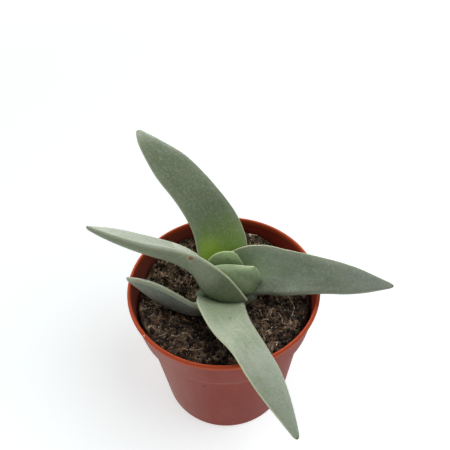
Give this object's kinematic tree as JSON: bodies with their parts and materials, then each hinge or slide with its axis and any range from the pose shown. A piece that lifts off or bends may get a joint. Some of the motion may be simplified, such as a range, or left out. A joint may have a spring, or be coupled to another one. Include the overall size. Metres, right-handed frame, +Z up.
{
  "type": "potted succulent",
  "caption": "Young sickle-leaved succulent with thick grey-green opposite leaves, standing in soil in a round tapered nursery pot with a deep collar.",
  "frame": {"origin": "middle of the pot's flat underside", "axes": "+Z up along the pot's axis, -Y the front as pictured, +X the right"},
  "size_m": [0.1392, 0.1387, 0.1235],
  "materials": {
    "pot_plastic": "satin moulded terracotta-coloured plastic, brighter and slightly see-through at the lip",
    "soil": "loose dark brown peat with fibres, crumbs and a few white grains",
    "stem": "short fleshy green stem",
    "leaf_olive": "finely velvety olive green, yellow-green at the base, pale margin",
    "leaf_pale": "finely velvety pale sage green, pale margin",
    "leaf_grey": "finely velvety blue-grey green, pale margin",
    "leaf_young": "finely velvety fresh green, cream margin"
  },
  "bodies": {
    "root": {"pot": "pot_plastic", "soil": "soil", "stem": "stem", "leaf_back": "leaf_olive", "leaf_front": "leaf_pale", "leaf_right": "leaf_grey", "leaf_left": "leaf_pale", "leaf_low_left": "leaf_grey", "leaf_young_front": "leaf_young", "leaf_young_back": "leaf_young"}
  },
  "joints": []
}
